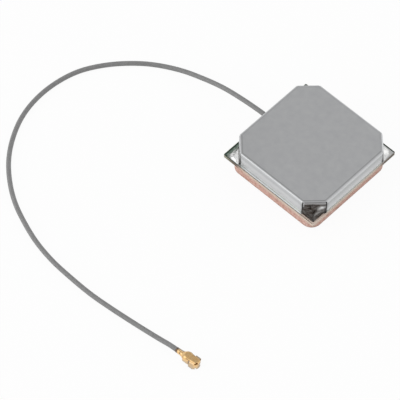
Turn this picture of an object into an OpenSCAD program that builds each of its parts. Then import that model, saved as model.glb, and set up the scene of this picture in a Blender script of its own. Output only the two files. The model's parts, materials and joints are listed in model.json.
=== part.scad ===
// Bare active antenna module for satellite positioning in a car, lying with its radiating face down.
// A square ceramic patch element is taped under a circuit board, a folded tinplate can shields the
// amplifier on top of it, and a thin coaxial cable leads to a right-angle push-on plug.
// Millimetres, +Z up, origin at the middle of the square board, on the surface that the module lies on.

/* [Circuit board] */
// Side of the square circuit board
board_side = 27.1; // [26.9:0.1:29]
// Thickness of the circuit board
board_t = 0.8; // [0.6:0.1:1.2]
// Rounding of the board's four corners
board_corner_r = 0.3; // [0.1:0.1:1]
// Bare strips of lacquer between the tinned ground track and the -X, +X, -Y and +Y edges
track_margin = [0.9, 0.1, 0.15, 0.35]; // [0.1:0.05:1]
// Thickness of the tinned copper on the board
track_t = 0.05; // [0.03:0.01:0.1]

/* [Ceramic element] */
// Side of the square ceramic block
ceramic_side = 25; // [23:0.5:26.5]
// Thickness of the ceramic block
ceramic_t = 4; // [2:0.5:6]
// Rounding of the block's upright corners
ceramic_corner_r = 2.6; // [1:0.1:4]
// Small chamfer round both faces of the block
ceramic_chamfer = 0.2; // [0.1:0.05:0.4]
// Length of the radiating silver patch along X
patch_l = 20.6; // [16:0.1:22]
// Width of the radiating silver patch along Y
patch_w = 20.2; // [16:0.1:22]
// Leg of the two cut corners that give the patch its circular polarisation
patch_cut = 2.4; // [1:0.1:4]
// Thickness of the fired silver on both faces
silver_t = 0.05; // [0.03:0.01:0.1]
// Side of the silver ground face under the board
ground_side = 24.4; // [20:0.2:24.6]
// Thickness of the double-sided tape between block and board
tape_t = 0.2; // [0.1:0.05:0.4]
// Side of the tape
tape_side = 23.6; // [18:0.2:24]

/* [Feed pin] */
// Offset of the feed pin from the middle, along X
feed_x = 1.9; // [1:0.1:3]
// Diameter of the pin's shaft
pin_d = 0.8; // [0.6:0.05:0.9]
// Diameter of the pin's flat head
pin_head_d = 1.6; // [1.2:0.1:1.8]
// Thickness of the head
pin_head_t = 0.15; // [0.1:0.01:0.2]
// Diameter of the holes that the pin runs through
pin_hole_d = 1; // [0.95:0.05:1.2]
// How far the pin stands out of the board's top
pin_above = 0.8; // [0.5:0.1:1.2]
// How far the soldered head stands proud of the radiating face
feed_proud = 0.3; // [0.25:0.01:0.4]
// Diameter of the solder on the head
feed_solder_d = 3; // [2.6:0.1:3.6]

/* [Shield can] */
// Outer side of the square can
can_side = 26.3; // [25:0.1:26.4]
// Height of the can above the tinned track
can_h = 3.95; // [2.8:0.05:5]
// Leg of the cut corners, measured along the sides
can_leg = 3.7; // [3:0.1:5]
// Thickness of the tinplate sheet
can_sheet = 0.2; // [0.15:0.05:0.3]
// Outer radius of the folds
can_bend_r = 0.45; // [0.4:0.05:0.8]
// Width of the open seams between walls and corner tabs
seam_w = 0.22; // [0.1:0.02:0.3]
// Sheet left at the top of each seam
seam_top = 0.12; // [0.08:0.02:0.2]
// Placing of the can off the board's middle, X and Y
can_shift = [0.2, 0.2]; // [0:0.05:0.3]
// Width of the cable's opening in the -X wall
cable_door_w = 1.4; // [1.2:0.1:2]

/* [Corner solder] */
// Heights of the solder on the tabs at the (+X+Y), (-X+Y), (-X-Y) and (+X-Y) corners
solder_h = [1, 1.2, 1.8, 3.1]; // [0.5:0.1:3.2]
// How far it spreads from the tabs at the same corners
solder_reach = [2, 1.8, 2.1, 3]; // [1:0.1:3]
// Shape of its slope at the same corners: 1 is straight, more is hollow
solder_slope = [1.9, 1.9, 1.7, 1.1]; // [1:0.1:2.5]

/* [Cable] */
// Outer diameter of the jacket
cable_d = 1.13; // [1:0.01:1.2]
// Diameter over the braid
braid_d = 0.88; // [0.8:0.01:0.9]
// Diameter of the inner insulation
dielectric_d = 0.68; // [0.6:0.01:0.7]
// Diameter of the core
core_d = 0.24; // [0.2:0.01:0.3]

/* [Plug] */
// Outer diameter of the mating ring
ring_d = 2.3; // [2.2:0.05:2.6]
// Bore of the mating ring
ring_bore = 2; // [1.8:0.1:2.1]
// Height of the plug
plug_h = 1.95; // [1.9:0.05:2.1]
// Width of the lid
lid_w = 2.1; // [2:0.05:2.3]
// Thickness of the gilded sheet
shell_t = 0.12; // [0.1:0.01:0.18]

/* [Hidden] */
$fn = 48;
EPS = 0.5;            // overshoot of cutting bodies

// Heights of the stack, from the surface up
z_patch = feed_proud;
z_ceramic = z_patch + silver_t;
z_ground = z_ceramic + ceramic_t;
z_tape = z_ground + silver_t;
z_board = z_tape + tape_t;
z_top = z_board + board_t;
z_track = z_top + track_t;

// Outline of the ground track, from the board's edges
track_x = [-board_side / 2 + track_margin[0], board_side / 2 - track_margin[1]];
track_y = [-board_side / 2 + track_margin[2], board_side / 2 - track_margin[3]];
track_inside = 1.1;   // how far the track runs in under the can
tab_reach = (can_side - can_leg) / sqrt(2);   // from the can's middle to a corner tab's face
tab_w = can_leg * sqrt(2);
tongue_w = 2.6;       // tongue of the track that the braid is soldered to
feed_pad_d = 1.9;

// Places of the parts under the can: X, Y and turn
chip_size = [1, 0.5, 0.5];
chip_cap = 0.22;
chip_step = 0.03;
resistor_h = 0.35;
capacitor_places = [[1.9, 2.6, 90], [-6.9, 2.4, 90], [4.6, 6.4, 0], [-1.2, 8.6, 0], [-6.2, 8.2, 90],
                    [5.8, 3, 90]];
resistor_places = [[3.6, 8.6, 0], [-8.6, 6.4, 90], [7.4, 6.4, 90]];
inductor_places = [[4.6, 4.4, 0], [-3.2, 2.4, 0], [-8.6, 3.6, 90]];
first_amplifier_place = [1.9, 5.4];
second_amplifier_place = [-6.2, 5.2];
filter_place = [-2.2, 5.4];
amplifier_size = [2, 1.25, 0.9];
amplifier_lead = [0.3, 0.5, 0.15];
lead_share = 1 / 3;   // leads lie this share of the case's length off its middle
land_share = 0.8;     // lands under them lie this share of its width off its middle
filter_size = [3, 3, 1];
filter_lid = [2.6, 2.6, 0.15];
pad_l = 0.55;
pad_w = 0.6;
line_w = 0.45;
land_overlap = 0.1;
input_line_l = 1.2;
output_line_l = 3.4;
branch_x = -6.9;
branch_l = 1.8;
feed_solder_share = 0.8;   // share of the pin's height above the board that its solder climbs

// Stripped end of the cable at the board, from the jacket's cut end inwards
door_y = 0.4;
jacket_end_x = -11.6;
braid_l = 1.9;
dielectric_l = 0.7;
core_l = 1.1;
cable_z = 6.05;
braid_solder_r = 1.3;
braid_solder_sink = 0.55;
braid_solder_shift = 0.35;
core_solder_r = 0.975;
core_solder_sink = 0.2;

// Centre line of the jacket, chosen by hand: straight out of the can, down to the surface, round in one
// wide loop, and up again to the plug
lie = cable_d / 2;
plug_axis_z = 1.15;
ROUTE = [[-11.6, 0.4, 6.05], [-15.6, 0.4, 6.05], [-21.2, 0.5, 5.2], [-27.05, 0.6, 3.75],
         [-32.8, 0.15, 2.15], [-38.5, -1.05, 0.95], [-43.9, -3.75, lie], [-48.5, -7.55, lie],
         [-52.4, -12.15, lie], [-55.3, -17.35, lie], [-56.7, -23.15, lie], [-56.8, -29.15, lie],
         [-55.6, -34.95, lie], [-53.1, -40.35, lie], [-49.6, -45.25, lie], [-45.2, -49.35, lie],
         [-40.2, -52.65, lie], [-34.7, -55.05, lie], [-29, -56.85, lie], [-23.1, -57.85, lie],
         [-17.1, -58.15, lie], [-11.2, -58.15, lie], [-5.2, -57.65, lie], [0.7, -56.95, lie],
         [6.6, -56.2, 0.7], [9.95, -55.82, 1.05], [11.35, -55.7, 1.15], [12.86, -55.56, 1.15]];
rings_per_span = 2;
tube_sides = 8;

// Plug: its middle lies on the axis of the mating ring, its own X runs away from the cable
plug_place = [17.35, -55.17, 0];
plug_turn = 5;
ring_h = 1;
slot_w = 0.3;
slot_h = 0.45;
lid_x = [-1.45, 0.6];
lid_edge_r = 0.35;
strap_w = 1.1;
strap_fold_r = 0.4;
strap_overlap = 0.1;
flap_z = 0.35;
flap_flare = 18;
ring_flap_x = [-0.85, 0.45];
hood_flap_x = [-2.45, -1.3];
hood_x = [-2.5, -1.55, -1.2];
hood_r = 1;
hood_low = 1;
braid_crimp_x = [-4.3, -2.4];
braid_crimp_r = braid_d / 2 + shell_t;
jacket_crimp_x = [-4.95, -4.5];
jacket_play = 0.02;
jacket_crimp_r = cable_d / 2 + jacket_play + shell_t;
crimp_gap = 0.25;
spine_w = 0.6;
insulator_z = 0.25;
insulator_shelf = 0.5;
insulator_top = 0.8;
boss_d = 1.2;
contact_d = 0.6;
contact_bore = 0.3;
contact_h = 0.6;
plug_jacket_end = -4.5;
plug_braid_l = 1.9;
plug_dielectric_l = 1;

// Corners of a square with four cut corners, anticlockwise from the +X side
function octagon(side, leg) =
    let (a = side / 2, k = a - leg)
    [[a, -k], [a, k], [k, a], [-k, a], [-a, k], [-a, -k], [-k, -a], [k, -a]];

// Point at share t between points 1 and 2 of four neighbours on a smooth line
function spline(p, t) =
    0.5 * (2 * p[1] + (p[2] - p[0]) * t + (2 * p[0] - 5 * p[1] + 4 * p[2] - p[3]) * t * t
           + (3 * p[1] - p[0] - 3 * p[2] + p[3]) * t * t * t);

// Route point with its ends carried straight on
function route_at(i) =
    let (last = len(ROUTE) - 1)
    i < 0 ? 2 * ROUTE[0] - ROUTE[1] : i > last ? 2 * ROUTE[last] - ROUTE[last - 1] : ROUTE[i];

// Smooth line through all the route's points
function smooth_route(steps) =
    let (last = len(ROUTE) - 1)
    [for (i = [0 : last - 1], s = [0 : steps - 1])
        spline([route_at(i - 1), route_at(i), route_at(i + 1), route_at(i + 2)], s / steps),
     ROUTE[last]];

// Ring of points round each point of a line, square to the given directions at its ends
function tube_points(line, r, sides, first_way, last_way) =
    let (last = len(line) - 1)
    [for (i = [0 : last])
        let (ahead = i == 0 ? first_way : i == last ? last_way : line[i + 1] - line[i - 1],
             along = ahead / norm(ahead),
             out = cross(along, [0, 0, 1]) / norm(cross(along, [0, 0, 1])),
             up = cross(out, along))
        for (k = [0 : sides - 1])
            let (a = 360 * (k + 0.5) / sides)
            line[i] + r * (cos(a) * out + sin(a) * up)];

function tube_faces(rings, sides) =
    concat([[for (k = [0 : sides - 1]) k]],
           [for (i = [0 : rings - 2], k = [0 : sides - 1])
               [i * sides + k, (i + 1) * sides + k, (i + 1) * sides + (k + 1) % sides,
                i * sides + (k + 1) % sides]],
           [[for (k = [sides - 1 : -1 : 0]) (rings - 1) * sides + k]]);

module rounded_square(side, r) {
    for (turn = [0, 90])
        rotate(turn) square([side, side - 2 * r], center = true);
    for (x = [-1, 1], y = [-1, 1])
        translate([x, y] * (side / 2 - r)) circle(r);
}

// Upright outline of a box with rounded upper edges
module rounded_top(w, h, r, low) {
    translate([-w / 2, -low]) square([w, h - r + low]);
    translate([r - w / 2, -low]) square([w - 2 * r, h + low]);
    for (x = [-1, 1])
        translate([x * (w / 2 - r), h - r]) circle(r);
}

// Eight-sided box with rounded upper edges that meet in mitres
module pressed_box(side, leg, h, r, low) {
    across = (side - leg) * sqrt(2);
    intersection() {
        rotate([90, 0, 0]) linear_extrude(2 * side, center = true) rounded_top(side, h, r, low);
        rotate([90, 0, 90]) linear_extrude(2 * side, center = true) rounded_top(side, h, r, low);
        rotate([90, 0, 45]) linear_extrude(2 * side, center = true) rounded_top(across, h, r, low);
        rotate([90, 0, 135]) linear_extrude(2 * side, center = true) rounded_top(across, h, r, low);
    }
}

// Sintered block with a hole for the pin and chamfered rims
module ceramic_patch() {
    c = ceramic_chamfer;
    h = ceramic_side / 2;
    rim = [[-h, c], [c - h, 0], [h - c, 0], [h, c], [h, ceramic_t - c], [h - c, ceramic_t],
           [c - h, ceramic_t], [-h, ceramic_t - c]];
    r = ceramic_corner_r;
    color([0.77, 0.62, 0.57])
        translate([0, 0, z_ceramic])
            difference() {
                union() {
                    for (turn = [0, 90])
                        rotate([90, 0, turn])
                            linear_extrude(ceramic_side - 2 * r, center = true) polygon(rim);
                    for (x = [-1, 1], y = [-1, 1])
                        translate([x * (h - r), y * (h - r), 0])
                            rotate_extrude()
                                polygon([[0, 0], [r - c, 0], [r, c], [r, ceramic_t - c], [r - c, ceramic_t],
                                         [0, ceramic_t]]);
                }
                translate([feed_x, 0, -EPS]) cylinder(d = pin_hole_d, h = ceramic_t + 2 * EPS);
            }
}

// Radiating silver face, two corners cut, two notches where it was tuned
module patch_electrode() {
    notch = [0.7, 1];
    color([0.86, 0.86, 0.84])
        translate([0, 0, z_patch])
            linear_extrude(silver_t)
                difference() {
                    square([patch_l, patch_w], center = true);
                    for (s = [-1, 1]) {
                        translate([s * patch_l / 2, -s * patch_w / 2]) rotate(45)
                            square(patch_cut * sqrt(2), center = true);
                        translate([s * patch_l / 4, s * patch_w / 2]) square(notch, center = true);
                    }
                    translate([feed_x, 0]) circle(d = pin_hole_d);
                }
}

// Silver ground face with a clear ring round the pin
module ground_electrode() {
    clear_d = 2.6;
    color([0.84, 0.84, 0.82])
        translate([0, 0, z_ground])
            linear_extrude(silver_t)
                difference() {
                    rounded_square(ground_side, ceramic_corner_r - (ceramic_side - ground_side) / 2);
                    translate([feed_x, 0]) circle(d = clear_d);
                }
}

module adhesive_pad() {
    clear_d = 3.4;
    corner_r = 1.5;
    color([0.86, 0.82, 0.72])
        translate([0, 0, z_tape])
            linear_extrude(tape_t)
                difference() {
                    rounded_square(tape_side, corner_r);
                    translate([feed_x, 0]) circle(d = clear_d);
                }
}

// Nail-shaped pin from the radiating face up through the board
module pin_body() {
    translate([feed_x, 0, 0]) {
        translate([0, 0, z_patch - pin_head_t]) cylinder(d = pin_head_d, h = pin_head_t);
        translate([0, 0, z_patch - pin_head_t / 2])
            cylinder(d = pin_d, h = z_top + pin_above - z_patch + pin_head_t / 2);
    }
}

module feed_pin() {
    color([0.82, 0.8, 0.76]) pin_body();
}

// Low dome of solder over the pin's head, the lowest point of the module
module feed_solder_patch() {
    steps = 8;
    r = feed_solder_d / 2;
    color([0.8, 0.8, 0.8])
        difference() {
            translate([feed_x, 0, 0])
                rotate_extrude()
                    polygon(concat([[0, z_patch]],
                                   [for (i = [0 : steps]) [r * i / steps, z_patch - feed_proud
                                                           + feed_proud * pow(i / steps, 2)]]));
            pin_body();
        }
}

// Hollow-sided cone of solder where the pin comes out of the board
module feed_solder_board() {
    steps = 6;
    rise = pin_above * feed_solder_share;
    run = feed_pad_d / 2 - pin_d / 2;
    color([0.8, 0.8, 0.8])
        translate([feed_x, 0, z_track])
            rotate_extrude()
                polygon(concat([[pin_d / 2, 0]],
                               [for (i = [0 : steps]) [pin_d / 2 + run * (1 - i / steps),
                                                       rise * pow(i / steps, 2)]]));
}

module circuit_board() {
    color([0.27, 0.34, 0.3])
        translate([0, 0, z_board])
            linear_extrude(board_t)
                difference() {
                    rounded_square(board_side, board_corner_r);
                    translate([feed_x, 0]) circle(d = pin_hole_d);
                }
}

module track_outline() {
    translate([track_x[0], track_y[0]]) square([track_x[1] - track_x[0], track_y[1] - track_y[0]]);
}

// Tinned copper that the can stands on, out to the board's corners, with a tongue under the braid
module ground_track() {
    color([0.8, 0.81, 0.82])
        translate([0, 0, z_top])
            linear_extrude(track_t) {
                difference() {
                    track_outline();
                    translate(can_shift)
                        polygon(octagon(can_side - 2 * track_inside,
                                        can_leg - track_inside * (2 - sqrt(2))));
                }
                translate([jacket_end_x - track_inside, door_y - tongue_w / 2])
                    square([track_inside + braid_l, tongue_w]);
            }
}

// Two solder lands under each chip
module chip_lands(places) {
    for (p = places)
        translate([p[0], p[1]]) rotate(p[2])
            for (s = [-1, 1])
                translate([s * chip_size[0] / 2, 0]) square([pad_l, pad_w], center = true);
}

// Copper of the amplifier from the pin to the cable, one layer
module signal_tracks() {
    color([0.72, 0.56, 0.36])
        translate([0, 0, z_top])
            linear_extrude(track_t) {
                chip_lands(capacitor_places);
                chip_lands(resistor_places);
                chip_lands(inductor_places);
                difference() {
                    translate([feed_x, 0]) circle(d = feed_pad_d);
                    translate([feed_x, 0]) circle(d = pin_hole_d);
                }
                translate([feed_x - line_w / 2, feed_pad_d / 2 - land_overlap])
                    square([line_w, input_line_l]);
                translate([jacket_end_x + braid_l + dielectric_l, door_y - line_w / 2])
                    square([output_line_l, line_w]);
                translate([branch_x - line_w / 2, door_y - line_w / 2]) square([line_w, branch_l]);
                for (a = [first_amplifier_place, second_amplifier_place], s = [-1, 1], t = [-1, 1])
                    translate([a[0] + s * amplifier_size[0] * lead_share,
                               a[1] + t * amplifier_size[1] * land_share])
                        square([pad_l, pad_w], center = true);
                translate(filter_place) square(filter_size[0], center = true);
            }
}

// One tinplate sheet: flat top, four walls and four corner tabs folded down, seams left open
module shield_can() {
    corners = octagon(can_side, can_leg);
    door_r = cable_door_w / 2;
    color([0.61, 0.62, 0.61])
        translate([can_shift[0], can_shift[1], z_track])
            difference() {
                pressed_box(can_side, can_leg, can_h, can_bend_r, 0);
                pressed_box(can_side - 2 * can_sheet, can_leg - can_sheet * (2 - sqrt(2)),
                            can_h - can_sheet, can_bend_r - can_sheet, EPS);
                for (i = [0 : 7])
                    translate(corners[i]) rotate(45 * i - 22.5)
                        translate([-can_bend_r, -seam_w / 2, -EPS])
                            cube([can_bend_r + EPS, seam_w, can_h - seam_top + EPS]);
                translate([-can_side / 2 - EPS, door_y - can_shift[1], 0]) {
                    translate([0, -door_r, -EPS]) cube([1, cable_door_w, cable_z - z_track + EPS]);
                    translate([0, 0, cable_z - z_track]) rotate([0, 90, 0]) cylinder(r = door_r, h = 1);
                }
            }
}

// Solder between a corner tab and the board's ear, cut off at the track's edges
module corner_solder(i) {
    steps = 8;
    h = solder_h[i];
    w = solder_reach[i];
    color([0.75, 0.75, 0.76])
        intersection() {
            translate([can_shift[0], can_shift[1], z_track])
                rotate([90, 0, 45 + 90 * i])
                    translate([tab_reach, 0, 0])
                        linear_extrude(tab_w - 2 * seam_w, center = true)
                            polygon(concat([[0, 0]],
                                           [for (s = [0 : steps])
                                               [w * (1 - s / steps), h * pow(s / steps, solder_slope[i])]]));
            translate([0, 0, z_track]) linear_extrude(can_h) track_outline();
        }
}

// Small transistor case with four folded leads
module amplifier(place) {
    color([0.14, 0.14, 0.15])
        translate([place[0], place[1], z_track]) {
            translate([-amplifier_size[0] / 2, -amplifier_size[1] / 2, amplifier_lead[2] / 2])
                cube([amplifier_size[0], amplifier_size[1], amplifier_size[2]]);
            for (s = [-1, 1], t = [-1, 1])
                translate([s * amplifier_size[0] * lead_share - amplifier_lead[0] / 2, 0, 0])
                    mirror([0, t < 0 ? 1 : 0, 0])
                        translate([0, amplifier_size[1] / 2 - amplifier_lead[2], 0]) {
                            cube([amplifier_lead[0], amplifier_lead[1], amplifier_lead[2]]);
                            cube([amplifier_lead[0], 2 * amplifier_lead[2], amplifier_size[2] / 2]);
                        }
        }
}

module first_amplifier() {
    amplifier(first_amplifier_place);
}

module second_amplifier() {
    amplifier(second_amplifier_place);
}

// Filter in a ceramic case with a welded lid
module band_filter() {
    color([0.78, 0.74, 0.6])
        translate([filter_place[0], filter_place[1], z_track]) {
            translate([-filter_size[0] / 2, -filter_size[1] / 2, 0]) cube(filter_size);
            translate([-filter_lid[0] / 2, -filter_lid[1] / 2, filter_size[2]]) cube(filter_lid);
        }
}

// Chips with a metal cap at each end
module chips(places, body_h, shade) {
    body_l = chip_size[0] - 2 * chip_cap;
    step = chip_step;
    color(shade)
        for (p = places)
            translate([p[0], p[1], z_track]) rotate(p[2]) {
                translate([-body_l / 2 - step, -chip_size[1] / 2 + step, step])
                    cube([body_l + 2 * step, chip_size[1] - 2 * step, body_h - 2 * step]);
                for (s = [-1, 1])
                    translate([s * (chip_size[0] - chip_cap) / 2 - chip_cap / 2, -chip_size[1] / 2, 0])
                        cube([chip_cap, chip_size[1], body_h]);
            }
}

module chip_capacitors() {
    chips(capacitor_places, chip_size[2], [0.62, 0.48, 0.36]);
}

module chip_resistors() {
    chips(resistor_places, resistor_h, [0.12, 0.12, 0.13]);
}

module chip_inductors() {
    chips(inductor_places, chip_size[2], [0.35, 0.4, 0.5]);
}

module cable_jacket() {
    line = smooth_route(rings_per_span);
    last = len(ROUTE) - 1;
    points = tube_points(line, cable_d / 2, tube_sides, ROUTE[1] - ROUTE[0],
                         ROUTE[last] - ROUTE[last - 1]);
    color([0.52, 0.52, 0.52]) polyhedron(points, tube_faces(len(line), tube_sides));
}

// Lengths of cable along X from the jacket's cut end
module cable_piece(from, to, d, bore) {
    translate([from, 0, 0]) rotate([0, 90, 0])
        difference() {
            cylinder(d = d, h = to - from);
            if (bore > 0)
                translate([0, 0, -EPS]) cylinder(d = bore, h = to - from + 2 * EPS);
        }
}

module at_door() {
    translate([jacket_end_x, door_y, cable_z]) children();
}

module cable_braid() {
    color([0.72, 0.72, 0.72]) at_door() cable_piece(0, braid_l, braid_d, dielectric_d);
}

module cable_dielectric() {
    color([0.93, 0.93, 0.92]) at_door() cable_piece(0, braid_l + dielectric_l, dielectric_d, core_d);
}

module cable_core() {
    color([0.8, 0.8, 0.8]) at_door() cable_piece(0, braid_l + dielectric_l + core_l, core_d, 0);
}

// Drop of solder round a length of cable, on the board
module solder_drop(x, r, sink, d) {
    color([0.75, 0.75, 0.76])
        difference() {
            intersection() {
                translate([x, door_y, z_track - sink]) sphere(r);
                translate([x - r, door_y - r, z_track]) cube(2 * r);
            }
            translate([x - r - EPS, door_y, cable_z]) rotate([0, 90, 0])
                cylinder(d = d, h = 2 * (r + EPS));
        }
}

module braid_solder() {
    solder_drop(jacket_end_x + braid_l / 2 + braid_solder_shift, braid_solder_r, braid_solder_sink, braid_d);
}

module core_solder() {
    solder_drop(jacket_end_x + braid_l + dielectric_l + core_l, core_solder_r, core_solder_sink, core_d);
}

module at_plug() {
    translate(plug_place) rotate(plug_turn) children();
}

// Sheet tube along X, open below
module crimp(x, r) {
    translate([x[0], 0, plug_axis_z]) rotate([0, 90, 0])
        difference() {
            cylinder(r = r, h = x[1] - x[0]);
            translate([0, 0, -EPS]) cylinder(r = r - shell_t, h = x[1] - x[0] + 2 * EPS);
            translate([0, -crimp_gap / 2, -EPS]) cube([r + EPS, crimp_gap, x[1] - x[0] + 2 * EPS]);
        }
}

// Side flaps that hang from a height and open outwards
module side_flaps(x, half, top) {
    for (side = [0, 1])
        mirror([0, side, 0])
            translate([x[0], half - shell_t, top])
                rotate([flap_flare, 0, 0])
                    translate([0, 0, flap_z - top]) cube([x[1] - x[0], shell_t, top - flap_z]);
}

// Slotted ring that grips the receptacle
module mating_ring() {
    difference() {
        cylinder(d = ring_d, h = ring_h);
        translate([0, 0, -EPS]) cylinder(d = ring_bore, h = ring_h + 2 * EPS);
        for (turn = [45, 135])
            rotate(turn) translate([-ring_d, -slot_w / 2, -EPS]) cube([2 * ring_d, slot_w, slot_h + EPS]);
    }
}

// Flat lid with rolled long edges
module lid() {
    translate([lid_x[0], 0, 0]) rotate([90, 0, 90]) linear_extrude(lid_x[1] - lid_x[0])
        difference() {
            rounded_top(lid_w, plug_h, lid_edge_r, 0);
            rounded_top(lid_w - 2 * shell_t, plug_h - shell_t, lid_edge_r - shell_t, EPS);
            translate([-lid_w, -EPS]) square([2 * lid_w, plug_h - lid_edge_r + EPS]);
        }
}

// Strap that runs from the lid round a fold down to the ring
module strap() {
    fold_x = ring_d / 2 - strap_fold_r;
    translate([lid_x[1] - strap_overlap, -strap_w / 2, plug_h - shell_t])
        cube([fold_x - lid_x[1] + strap_overlap, strap_w, shell_t]);
    translate([fold_x, 0, plug_h - strap_fold_r])
        rotate([90, 0, 0])
            linear_extrude(strap_w, center = true)
                intersection() {
                    difference() {
                        circle(strap_fold_r);
                        circle(strap_fold_r - shell_t);
                    }
                    square(strap_fold_r);
                }
    translate([ring_d / 2 - shell_t, -strap_w / 2, ring_h - strap_overlap])
        cube([shell_t, strap_w, plug_h - strap_fold_r - ring_h + strap_overlap]);
}

// Round body along X: even to its second place, then narrower to the lid's height at its third
module hood_body(r) {
    cylinder(r = r, h = hood_x[1] - hood_x[0]);
    translate([0, 0, hood_x[1] - hood_x[0]])
        cylinder(r1 = r, r2 = r - (plug_axis_z + hood_r - plug_h), h = hood_x[2] - hood_x[1]);
}

// Hood over the stripped cable, its back closed but for the cable's hole
module hood() {
    intersection() {
        translate([hood_x[0], 0, plug_axis_z]) rotate([0, 90, 0])
            difference() {
                hood_body(hood_r);
                difference() {
                    hood_body(hood_r - shell_t);
                    cylinder(r = hood_r, h = shell_t);
                }
                translate([0, 0, hood_x[2] - hood_x[0] - EPS / 2])
                    cylinder(r = hood_r - shell_t - (plug_axis_z + hood_r - plug_h), h = EPS);
                translate([0, 0, -EPS]) cylinder(d = braid_d, h = 2 * EPS);
            }
        translate([hood_x[0], -hood_r, hood_low]) cube([hood_x[2] - hood_x[0], 2 * hood_r, 2 * hood_r]);
    }
}

// One stamped sheet: mating ring, strap, lid with flaps, hood with flaps and two crimps on a spine
module plug_shell() {
    color([0.8, 0.62, 0.36])
        at_plug() {
            mating_ring();
            strap();
            lid();
            side_flaps(ring_flap_x, lid_w / 2, plug_h - lid_edge_r);
            hood();
            side_flaps(hood_flap_x, hood_r, plug_axis_z);
            crimp(braid_crimp_x, braid_crimp_r);
            crimp(jacket_crimp_x, jacket_crimp_r);
            translate([jacket_crimp_x[1], -spine_w / 2, plug_axis_z + braid_crimp_r - shell_t])
                cube([braid_crimp_x[0] - jacket_crimp_x[1] + shell_t, spine_w,
                      jacket_crimp_r - braid_crimp_r + shell_t]);
        }
}

module plug_insulator() {
    color([0.9, 0.89, 0.86])
        at_plug()
            difference() {
                union() {
                    translate([0, 0, insulator_shelf])
                        cylinder(d = ring_bore, h = insulator_top - insulator_shelf);
                    translate([0, 0, insulator_z]) cylinder(d = boss_d, h = insulator_shelf - insulator_z);
                }
                translate([0, 0, insulator_z - EPS]) cylinder(d = contact_d, h = plug_h);
            }
}

// Socket for the centre pin, open below
module plug_contact() {
    color([0.8, 0.62, 0.36])
        at_plug()
            difference() {
                translate([0, 0, insulator_z])
                    cylinder(d = contact_d, h = plug_axis_z - core_d / 2 - insulator_z);
                translate([0, 0, insulator_z - EPS])
                    cylinder(d = contact_bore, h = contact_h + EPS);
            }
}

module in_plug() {
    at_plug() translate([plug_jacket_end, 0, plug_axis_z]) children();
}

module plug_braid_end() {
    color([0.72, 0.72, 0.72]) in_plug() cable_piece(0, plug_braid_l, braid_d, dielectric_d);
}

module plug_dielectric_end() {
    color([0.93, 0.93, 0.92])
        in_plug() cable_piece(0, plug_braid_l + plug_dielectric_l, dielectric_d, core_d);
}

module plug_core_end() {
    color([0.8, 0.8, 0.8]) in_plug() cable_piece(0, contact_d / 2 - plug_jacket_end, core_d, 0);
}

ceramic_patch();
patch_electrode();
ground_electrode();
adhesive_pad();
feed_pin();
feed_solder_patch();
feed_solder_board();
circuit_board();
ground_track();
signal_tracks();
shield_can();
corner_solder(0);  // corner_solder_1
corner_solder(1);  // corner_solder_2
corner_solder(2);  // corner_solder_3
corner_solder(3);  // corner_solder_4
first_amplifier();
second_amplifier();
band_filter();
chip_capacitors();
chip_resistors();
chip_inductors();
cable_jacket();
cable_braid();
cable_dielectric();
cable_core();
braid_solder();
core_solder();
plug_shell();
plug_insulator();
plug_contact();
plug_braid_end();
plug_dielectric_end();
plug_core_end();
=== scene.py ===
# Bare antenna module of a car, lying with its radiating face down, and its thin cable in one wide loop.
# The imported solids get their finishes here, and what needs a finer shape is built as a mesh in their place.
# Lengths in millimetres are turned to metres by MM.
import json

import bmesh
import bpy
import numpy as np
from mathutils import Matrix


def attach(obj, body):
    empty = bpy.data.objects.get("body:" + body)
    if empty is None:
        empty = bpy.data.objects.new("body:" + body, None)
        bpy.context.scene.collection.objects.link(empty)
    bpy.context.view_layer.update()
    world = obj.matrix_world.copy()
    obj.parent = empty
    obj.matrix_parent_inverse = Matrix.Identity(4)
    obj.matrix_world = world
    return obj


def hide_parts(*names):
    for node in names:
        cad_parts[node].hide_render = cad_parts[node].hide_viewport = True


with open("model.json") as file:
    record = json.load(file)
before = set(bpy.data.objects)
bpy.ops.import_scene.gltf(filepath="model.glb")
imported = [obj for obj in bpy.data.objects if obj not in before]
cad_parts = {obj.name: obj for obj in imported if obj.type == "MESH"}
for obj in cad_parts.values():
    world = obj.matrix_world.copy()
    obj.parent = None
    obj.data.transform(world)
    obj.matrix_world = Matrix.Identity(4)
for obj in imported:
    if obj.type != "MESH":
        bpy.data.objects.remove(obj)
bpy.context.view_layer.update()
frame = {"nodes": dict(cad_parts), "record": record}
scene = bpy.context.scene
scene.view_settings.view_transform = "Standard"
MM = 0.001
BOARD_HALF = 13.55


def put(made, rightward, upward, back, place):
    """Puts a camera or lamp in its place, looking against back."""
    turned = np.column_stack([rightward, upward, back, place])
    made.matrix_world = Matrix(np.vstack([turned, [0, 0, 0, 1]]).tolist())
    scene.collection.objects.link(made)


# Camera
AZIMUTH, ELEVATION, ROLL = np.radians([42.55, 56.09, 1.25])
AIM = np.array([-11.345, -23.344, 0]) * MM
DISTANCE = 788.9 * MM
LENS_MM = 319.07
SENSOR_MM = 36
back = np.array([np.sin(AZIMUTH) * np.cos(ELEVATION), -np.cos(AZIMUTH) * np.cos(ELEVATION),
                 np.sin(ELEVATION)])
level = np.array([np.cos(AZIMUTH), np.sin(AZIMUTH), 0])
upright = np.cross(back, level)
rightward = level * np.cos(ROLL) + upright * np.sin(ROLL)
upward = upright * np.cos(ROLL) - level * np.sin(ROLL)
camera = bpy.data.objects.new("camera", bpy.data.cameras.new("camera"))
camera.data.lens = LENS_MM
camera.data.sensor_width = SENSOR_MM
camera.data.clip_start = 0.01
camera.data.clip_end = 100
put(camera, rightward, upward, back, AIM + back * DISTANCE)
scene.camera = camera


# Nodes, colours and finishes
UNDER, OVER, MIXED = 6, 7, 2      # colour sockets of a Mix node, whose names repeat
NOISE = (0.3, 0.7)                # nearly all of a noise's values lie between these
HARD_NOISE = (0.35, 0.65)         # a narrower range, which leaves more of both ends


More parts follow.
